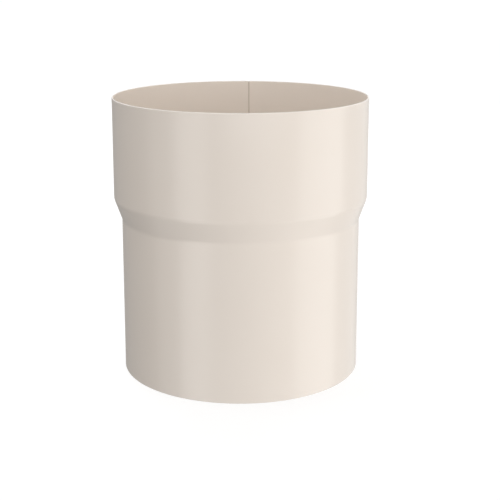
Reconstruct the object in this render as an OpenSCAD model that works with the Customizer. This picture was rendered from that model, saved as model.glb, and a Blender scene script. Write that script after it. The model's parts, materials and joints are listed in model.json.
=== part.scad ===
// Downpipe connector: a short tube of coated sheet steel, rolled to a ring and welded along one seam.
// The wide upper end is a socket that the pipe above drops into, the narrow lower end is a spigot
// that enters the pipe below, and the stepped shoulder between them stops both pipes.
// Millimetres. The origin is the centre of the spigot's lower end, +Z runs up along the tube,
// and the seam lies towards +Y.

/* [Pipe] */
// Outside diameter of the round downpipe that the connector joins
pipe_d = 100; // [75:1:150]
// Wall of that downpipe
pipe_t = 0.6; // [0.5:0.05:1.5]

/* [Sheet] */
// Thickness of the connector's own coated sheet
sheet_t = 0.6; // [0.4:0.05:1]
// Inside radius of the two bends at the shoulder
bend_r = 5; // [1:0.5:6.5]

/* [Socket] */
// Depth of the straight socket above the shoulder
socket_depth = 40; // [20:1:80]
// Radial gap between the socket and the pipe inside it
socket_gap = 0.5; // [0.2:0.05:1.5]

/* [Shoulder] */
// Height of the step from the spigot up to the socket
shoulder_h = 9; // [7:0.5:16]

/* [Spigot] */
// Length of the straight spigot below the shoulder
spigot_len = 62; // [30:1:100]
// Radial gap between the spigot and the pipe around it, which clears that pipe's own folded seam
spigot_gap = 1.35; // [0.5:0.05:2]

/* [Seam] */
// Width of the groove that the weld leaves on both faces, measured on the socket
seam_w = 0.6; // [0.3:0.05:1.5]
// Depth of that groove on each face
seam_depth = 0.15; // [0.05:0.01:0.18]
// How far the weld stops short of the cut rim and foot
seam_nick = 0.3; // [0.1:0.05:1]

/* [Hidden] */
$fn = 180;

// The sheet's middle line, which the bends and the weld are laid out on
socket_mid_r = pipe_d / 2 + socket_gap + sheet_t / 2;
spigot_mid_r = pipe_d / 2 - pipe_t - spigot_gap - sheet_t / 2;
shoulder_step = socket_mid_r - spigot_mid_r;
shoulder_top = spigot_len + shoulder_h;

// The bends stay small enough to leave a straight slope between them
slope_share = 0.95;
largest_bend_r = (shoulder_h ^ 2 + shoulder_step ^ 2) / (4 * shoulder_step);
bend_mid_r = min(bend_r + sheet_t / 2, slope_share * largest_bend_r);

// Each bend is drawn with this many short steps
bend_steps = 12;

// The upper bend turns about a point inside the wall, and the lower one about a point outside it
upper_bend = [socket_mid_r - bend_mid_r, shoulder_top];
lower_bend = [spigot_mid_r + bend_mid_r, spigot_len];
bend_span = norm(upper_bend - lower_bend);
slope_lean = atan2(shoulder_h, lower_bend.x - upper_bend.x) - acos(2 * bend_mid_r / bend_span);

// The weld is thinner than the sheet and bites a little way into both of its edges
weld_t = sheet_t - 2 * seam_depth;
weld_bite = 0.5;
seam_turn = 2 * asin(seam_w / 2 / socket_mid_r);

// Points along a round bend, from one angle to another about its centre
function bend(centre, r, from, to) = [
    for (i = [0:bend_steps])
        let (a = from + (to - from) * i / bend_steps)
        centre + r * [cos(a), sin(a)]
];

// One face of the wall from the foot up to the rim, a distance out from the sheet's middle line
function wall_face(out, short_by) = [
    [spigot_mid_r + out, short_by],
    each bend(lower_bend, bend_mid_r - out, 180, 180 - slope_lean),
    each bend(upper_bend, bend_mid_r + out, -slope_lean, 0),
    [socket_mid_r + out, shoulder_top + socket_depth - short_by]
];

// Section of the wall beside the axis, of any thickness about the sheet's middle line
module wall_section(thick, short_by = 0) {
    outside = wall_face(thick / 2, short_by);
    inside = wall_face(-thick / 2, short_by);
    polygon([each outside, each [for (i = [len(inside) - 1:-1:0]) inside[i]]]);
}

// The rolled and stepped sheet, with a slit where its two edges face each other
module formed_sheet() {
    rotate(90 + seam_turn / 2) rotate_extrude(angle = 360 - seam_turn) wall_section(sheet_t);
}

// The weld that closes the slit straight across and leaves a fine groove inside and outside
module seam_weld() {
    rotate([90, 0, 90])
        linear_extrude(height = seam_w + 2 * weld_bite, center = true) wall_section(weld_t, seam_nick);
}

module connector() {
    color("#ede5dc") union() {
        formed_sheet();
        seam_weld();
    }
}

connector();
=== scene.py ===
import json
import math

import bmesh
import bpy
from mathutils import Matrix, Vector


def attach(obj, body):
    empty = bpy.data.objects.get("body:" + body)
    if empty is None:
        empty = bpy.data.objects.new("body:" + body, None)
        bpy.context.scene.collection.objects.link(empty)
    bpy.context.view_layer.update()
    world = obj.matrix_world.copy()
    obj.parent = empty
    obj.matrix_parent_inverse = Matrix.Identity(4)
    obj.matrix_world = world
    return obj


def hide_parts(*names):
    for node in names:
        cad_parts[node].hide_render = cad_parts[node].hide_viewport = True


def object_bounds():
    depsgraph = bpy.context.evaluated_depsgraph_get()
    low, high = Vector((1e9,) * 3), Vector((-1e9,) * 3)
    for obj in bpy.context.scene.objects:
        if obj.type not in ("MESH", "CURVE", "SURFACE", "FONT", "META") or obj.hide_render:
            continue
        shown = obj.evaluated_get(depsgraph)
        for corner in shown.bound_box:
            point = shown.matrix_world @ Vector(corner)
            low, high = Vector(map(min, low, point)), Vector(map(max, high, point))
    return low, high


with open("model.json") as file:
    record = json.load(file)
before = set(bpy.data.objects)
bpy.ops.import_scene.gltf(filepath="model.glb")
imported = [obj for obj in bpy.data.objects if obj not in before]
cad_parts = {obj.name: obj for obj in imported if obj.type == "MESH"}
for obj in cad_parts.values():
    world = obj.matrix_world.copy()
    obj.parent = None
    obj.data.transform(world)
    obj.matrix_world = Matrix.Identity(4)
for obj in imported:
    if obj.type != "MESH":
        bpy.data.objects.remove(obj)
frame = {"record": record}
cad_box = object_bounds()


# The connector is one strip of galvanised sheet steel, rolled to a ring and welded along one line,
# then swaged narrower below a stepped shoulder and coated in satin cream. The wide socket takes the
# pipe above, the narrow spigot enters the pipe below, and nothing is fastened to either.

interfaces = {mount["name"]: mount["dims"] for mount in frame["record"]["mounts"]}
foot_z = cad_box[0].z
rim_z = cad_box[1].z

# The shoulder's bends start this far inside the straight lengths that the pipes slide on
bend_ease = 0.00065
shoulder_low_z = foot_z + interfaces["spigot"]["length_mm"] / 1000 - bend_ease
shoulder_high_z = rim_z - interfaces["socket"]["length_mm"] / 1000 + bend_ease

# The radii run to the middle of the sheet
sheet_t = 0.0006
socket_r = interfaces["socket"]["r_mm"] / 1000 + sheet_t / 2
spigot_r = interfaces["spigot"]["r_mm"] / 1000 - sheet_t / 2
bend_r = 0.005 + sheet_t / 2

# The cut rim and foot are rubbed smooth, so their corners are slightly round. Where the sheet is
# thinner, at the weld, a corner takes at most this share of half its thickness.
corner_r = 0.00022
widest_corner_share = 0.9
corner_steps = 5
bend_steps = 14

# The weld leaves a shallow groove on both faces and stops short of the rim and the foot
seam_w = 0.0006
seam_depth = 0.00015
seam_nick = 0.0003
seam_columns = 9
wall_columns = 504


def shoulder_lean():
    """Angle of the shoulder's straight slope, away from the upright, between its two bends."""
    across = spigot_r - socket_r + 2 * bend_r
    up = shoulder_high_z - shoulder_low_z
    return math.atan2(up, across) - math.acos(2 * bend_r / math.hypot(across, up))


def arc(centre_r, centre_z, radius, start, end, steps):
    """Points round a bend seen in section, as radius and height."""
    angles = [start + (end - start) * i / steps for i in range(steps + 1)]
    return [(centre_r + radius * math.cos(a), centre_z + radius * math.sin(a)) for a in angles]


def upright(radius, start_z, end_z):
    """Points along a straight part of the wall, closer together beside its ends."""
    shares = (0.01, 0.03, 0.1, 0.25, 0.42, 0.58, 0.75, 0.9, 0.97, 0.99)
    return [(radius, start_z + (end_z - start_z) * share) for share in shares]


def wall_face(out, low_z, high_z):
    """One face of the sheet from low_z up to high_z, a distance out from the sheet's middle."""
    lean = shoulder_lean()
    lower = arc(spigot_r + bend_r, shoulder_low_z, bend_r - out, math.pi, math.pi - lean, bend_steps)
    upper = arc(socket_r - bend_r, shoulder_high_z, bend_r + out, -lean, 0, bend_steps)
    return [
        *upright(spigot_r + out, low_z, shoulder_low_z),
        *lower,
        *upper,
        *upright(socket_r + out, shoulder_high_z, high_z),
    ]


def wall_section(sunk):
    """The sheet's closed outline beside the axis, where sunk goes from 0 to 1 across the groove."""
    half_t = sheet_t / 2 - seam_depth * sunk
    corner = min(corner_r, widest_corner_share * half_t)
    low_z = foot_z + seam_nick * sunk + corner
    high_z = rim_z - seam_nick * sunk - corner
    flat = half_t - corner
    quarter = math.pi / 2
    return [
        *wall_face(half_t, low_z, high_z),
        *arc(socket_r + flat, high_z, corner, 0, quarter, corner_steps),
        *arc(socket_r - flat, high_z, corner, quarter, 2 * quarter, corner_steps),
        *reversed(wall_face(-half_t, low_z, high_z)),
        *arc(spigot_r - flat, low_z, corner, 2 * quarter, 3 * quarter, corner_steps),
        *arc(spigot_r + flat, low_z, corner, 3 * quarter, 4 * quarter, corner_steps),
    ]


def column_angles():
    """Angles from the seam round the tube, with closer columns across the groove."""
    seam_half = math.asin(seam_w / 2 / socket_r)
    across = [seam_half * (2 * i / (seam_columns - 1) - 1) for i in range(seam_columns)]
    round_step = (2 * math.pi - 4 * seam_half) / wall_columns
    around = [2 * seam_half + round_step * i for i in range(wall_columns + 1)]
    return seam_half, across + around


tube_mesh = bmesh.new()
seam_half_angle, angles = column_angles()
columns = []
for angle in angles:
    from_seam = min(angle, 2 * math.pi - angle) if angle > 0 else -angle
    sunk = 0.5 + 0.5 * math.cos(math.pi * min(from_seam / seam_half_angle, 1))
    columns.append([
        tube_mesh.verts.new((-r * math.sin(angle), r * math.cos(angle), z))
        for r, z in wall_section(sunk)
    ])
for column, following in zip(columns, columns[1:] + columns[:1]):
    for i, vertex in enumerate(column):
        after = (i + 1) % len(column)
        tube_mesh.faces.new((vertex, column[after], following[after], following[i]))
bmesh.ops.recalc_face_normals(tube_mesh, faces=tube_mesh.faces)
for face in tube_mesh.faces:
    face.smooth = True

tube_data = bpy.data.meshes.new("stepped_tube")
tube_mesh.to_mesh(tube_data)
tube_mesh.free()
stepped_tube = bpy.data.objects.new("stepped_tube", tube_data)
bpy.context.scene.collection.objects.link(stepped_tube)


class Wire:
    """A shader socket. Arithmetic on it adds Math nodes, and node() adds any other node."""

    def __init__(self, tree, socket=None):
        self.tree = tree
        self.socket = socket

    def node(self, kind, settings=(), sockets=(), output=0):
        """Adds a node, sets its settings, then the values or wires of its sockets."""
        added = self.tree.nodes.new(kind)
        for name, value in dict(settings).items():
            setattr(added, name, value)
        for name, value in dict(sockets).items():
            if isinstance(value, Wire):
                self.tree.links.new(value.socket, added.inputs[name])
            else:
                added.inputs[name].default_value = value
        return Wire(self.tree, added.outputs[output]) if added.outputs else added

    def math(self, operation, *values):
        return self.node("ShaderNodeMath", {"operation": operation}, enumerate(values))

    def __add__(self, other):
        return self.math("ADD", self, other)

    def __sub__(self, other):
        return self.math("SUBTRACT", self, other)

    def __rsub__(self, other):
        return self.math("SUBTRACT", other, self)

    def __mul__(self, other):
        return self.math("MULTIPLY", self, other)

    def __abs__(self):
        return self.math("ABSOLUTE", self)

    __radd__ = __add__
    __rmul__ = __mul__


def empty_shader(holder):
    """Empties the nodes of a new material or world, ready to be wired."""
    holder.use_nodes = True
    holder.node_tree.nodes.clear()
    return Wire(holder.node_tree)


def axis_of(place, axis):
    return place.node("ShaderNodeSeparateXYZ", sockets={"Vector": place}, output=axis)


def fade(value, start, end):
    """Goes smoothly from 0 at start to 1 at end."""
    settings = {"interpolation_type": "SMOOTHSTEP"}
    sockets = {"Value": value, "From Min": start, "From Max": end}
    return value.node("ShaderNodeMapRange", settings, sockets)


def blend_colour(share, first, second):
    """A colour that goes from first to second as share goes from 0 to 1."""
    factor, colour_a, colour_b, colour_out = 0, 6, 7, 2
    sockets = {factor: share, colour_a: first, colour_b: second}
    return share.node("ShaderNodeMix", {"data_type": "RGBA"}, sockets, output=colour_out)


# The coating is a satin cream paint, baked on: a fine orange peel, cloudy by a hundredth or two,
# with a painted highlight that makes the cut edges paler, and dull down in the weld's groove, with painted
# shade that makes it darker there
cream = (0.775, 0.70, 0.628, 1)
cream_cloud = (0.758, 0.68, 0.604, 1)
# Painted highlight: a paler cream on the cut rim and foot, for the light that falls on them
edge_highlight_cream = (0.82, 0.76, 0.70, 1)
# Painted shade: a darker cream down in the weld's groove
groove_shade_cream = (0.50, 0.43, 0.36, 1)
satin_roughness = 0.25
cloud_roughness = 0.02
groove_roughness = 0.2
clouds_per_metre = 45
peel_per_metre = 620
peel_height = 0.000004

# The painted highlight on the cut edges fades in towards the rim and the foot between these distances from
# them
highlight_fades_from = 1.3 * corner_r
highlight_full_from = 0.6 * corner_r

# The groove's painted shade and dullness are strongest over its bottom, and the groove lies on the +Y side
# alone
groove_bottom_half = 0.15 * seam_w
past_axis = 0.001

coating = bpy.data.materials.new("satin_cream_coating")
paint = empty_shader(coating)
place = paint.node("ShaderNodeTexCoord", output="Object")
cloud = paint.node("ShaderNodeTexNoise", sockets={"Vector": place, "Scale": clouds_per_metre, "Detail": 3})
peel = paint.node("ShaderNodeTexNoise", sockets={"Vector": place, "Scale": peel_per_metre, "Detail": 2})

height = axis_of(place, "Z")
# Where the painted highlight lies, on the rim and the foot
rim_highlight = fade(height, rim_z - highlight_fades_from, rim_z - highlight_full_from)
foot_highlight = fade(height, foot_z + highlight_fades_from, foot_z + highlight_full_from)
near_seam_line = fade(abs(axis_of(place, "X")), seam_w / 2, groove_bottom_half)
in_groove = near_seam_line * fade(axis_of(place, "Y"), 0, past_axis)

cream_now = blend_colour(cloud, cream, cream_cloud)
# Painted highlight on the cut rim and foot
cream_now = blend_colour(rim_highlight + foot_highlight, cream_now, edge_highlight_cream)
# Painted shade down in the weld's groove
cream_now = blend_colour(in_groove, cream_now, groove_shade_cream)
roughness = satin_roughness + (cloud - 0.5) * cloud_roughness + in_groove * groove_roughness
bumpy = paint.node("ShaderNodeBump", sockets={"Height": peel, "Distance": peel_height})
shine = paint.node("ShaderNodeBsdfPrincipled", sockets={
    "Base Color": cream_now,
    "Roughness": roughness,
    "Normal": bumpy,
})
paint.node("ShaderNodeOutputMaterial", sockets={"Surface": shine})
stepped_tube.data.materials.append(coating)

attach(stepped_tube, "root")
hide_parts("connector")


# The floor is a white sheet under the connector. The camera sees it as the same white as the room
# around it, apart from the connector's faint shadow: its glow makes up what the matt sheet lacks of
# that white in this light. The coating's reflections look past it, so lamps can stand below it.

floor_half = 0.8
floor_white = (0.82, 0.82, 0.82, 1)

# The matt sheet's own share of what is seen, and its brightness in this light, where white is 1
shadow_share = 0.5
lit_floor = 0.71

# A little over white, so that grain in the picture doesn't show on the white
seen_brightness = 1.02
floor_glow = (seen_brightness - shadow_share * lit_floor) / (1 - shadow_share)


def flat_square(name, half):
    """A level square with its middle at its own origin."""
    mesh = bmesh.new()
    bmesh.ops.create_grid(mesh, x_segments=1, y_segments=1, size=half)
    data = bpy.data.meshes.new(name)
    mesh.to_mesh(data)
    mesh.free()
    return bpy.data.objects.new(name, data)


def seen_white(wire):
    """1 for rays that should meet plain white: the camera's, and those of gloss and glass."""
    kinds = ["Is Camera Ray", "Is Glossy Ray", "Is Transmission Ray"]
    camera, glossy, transmitted = (wire.node("ShaderNodeLightPath", output=kind) for kind in kinds)
    return wire.math("MAXIMUM", wire.math("MAXIMUM", camera, glossy), transmitted)


floor = flat_square("floor", floor_half)
bpy.context.scene.collection.objects.link(floor)
floor.visible_diffuse = False
floor.visible_glossy = False
floor.visible_shadow = False

sheet = bpy.data.materials.new("white_floor")
white = empty_shader(sheet)
matt = white.node("ShaderNodeBsdfDiffuse", sockets={"Color": floor_white})
glow = white.node("ShaderNodeEmission", sockets={"Strength": floor_glow})
glow_share = seen_white(white) * (1 - shadow_share)
floor_shader = white.node("ShaderNodeMixShader", sockets={0: glow_share, 1: matt, 2: glow})
white.node("ShaderNodeOutputMaterial", sockets={"Surface": floor_shader})
floor.data.materials.append(sheet)


# The studio is an even white room with soft boxes. A tall box at the right and a narrow panel at the
# left reflect upright in the coating, as its two soft bands. Lamps below light the inside through the
# open foot, and grey cards behind keep both edges of the tube from fading into the white.

room_white = (1, 1, 1, 1)
room_light = 0.24
view_turn = math.radians(3.73)
lamp_distance = 1.5


def set_up(piece, azimuth, elevation):
    """Turns a lamp or card to the connector. Azimuth is 0 on the camera's side and 90 on its right."""
    turn = math.radians(azimuth) + view_turn
    rise = math.radians(elevation)
    away = Vector((math.sin(turn) * math.cos(rise), -math.cos(turn) * math.cos(rise), math.sin(rise)))
    piece.location = away * lamp_distance + Vector((0, 0, (foot_z + rim_z) / 2))
    piece.rotation_euler = (-away).to_track_quat("-Z", "Y").to_euler()
    piece.visible_camera = False
    bpy.context.scene.collection.objects.link(piece)


def softbox(name, azimuth, elevation, width, height, brightness, lights_matt=True):
    """A soft box in degrees and metres. Its face is as bright as brightness says, where white is 1."""
    lamp = bpy.data.lights.new(name, "AREA")
    lamp.shape = "RECTANGLE"
    lamp.size = width
    lamp.size_y = height
    lamp.energy = brightness * math.pi * width * height
    box = bpy.data.objects.new(name, lamp)
    set_up(box, azimuth, elevation)
    box.visible_diffuse = lights_matt


def grey_card(name, azimuth, elevation, half, grey):
    """A square card that only gloss sees, and that is as bright as grey says, where white is 1."""
    card = flat_square(name, half)
    set_up(card, azimuth, elevation)
    card.visible_diffuse = False
    card.visible_shadow = False
    felt = bpy.data.materials.new(name + "_felt")
    dim = empty_shader(felt)
    face = dim.node("ShaderNodeEmission", sockets={"Strength": grey})
    dim.node("ShaderNodeOutputMaterial", sockets={"Surface": face})
    card.data.materials.append(felt)


softbox("front_softbox", 10, 8, 1.6, 0.7, 2.4)
softbox("high_front_softbox", -5, 45, 1.6, 1.0, 0.86)
softbox("high_left_softbox", -90, 45, 1.0, 1.0, 1.85)
softbox("tall_right_softbox", 76.5, -2, 1.37, 2.0, 1.51)
softbox("left_gloss_panel", -42.5, -2, 0.78, 2.6, 1.53, lights_matt=False)
softbox("high_back_softbox", 180, 42, 1.8, 1.0, 1.8)
softbox("back_left_softbox", -135, 35, 1.0, 1.0, 1.2)
softbox("back_right_softbox", 130, 35, 1.0, 1.0, 1.0)
softbox("low_front_softbox", 9, -35, 1.9, 0.9, 0.6)
softbox("low_right_softbox", 75, -45, 1.0, 0.8, 0.6)
softbox("softbox_below", 180, -80, 1.6, 1.6, 0.68)
grey_card("left_edge_card", -125, 0, 1.25, 0.34)
grey_card("right_edge_card", 163, -12, 0.35, 0.7)

world = bpy.data.worlds.new("even_room")
bpy.context.scene.world = world
room = empty_shader(world)
strength = seen_white(room) * (seen_brightness - room_light) + room_light
background = room.node("ShaderNodeBackground", sockets={"Color": room_white, "Strength": strength})
room.node("ShaderNodeOutputWorld", sockets={"Surface": background})
bpy.context.scene.view_settings.view_transform = "Standard"


# The camera stands a little above the rim and close by, and looks slightly down at the connector,
# turned so that the seam shows just right of the middle of the far wall

camera_distance = 0.4388
camera_height = 0.1664
camera_aside = 0.0038
camera_tilt = math.radians(12.1)
camera_lens = 79.5
camera_shift = -0.12

ahead = Vector((-math.sin(view_turn), math.cos(view_turn), 0))
rightward = Vector((math.cos(view_turn), math.sin(view_turn), 0))
camera = bpy.data.objects.new("camera", bpy.data.cameras.new("camera"))
camera.data.lens = camera_lens
camera.data.sensor_width = 36
camera.data.shift_y = camera_shift
camera.data.clip_start = 0.01
camera.location = rightward * camera_aside - ahead * camera_distance
camera.location.z = foot_z + camera_height
camera.rotation_euler = (math.pi / 2 - camera_tilt, 0, view_turn)
bpy.context.scene.collection.objects.link(camera)
bpy.context.scene.camera = camera
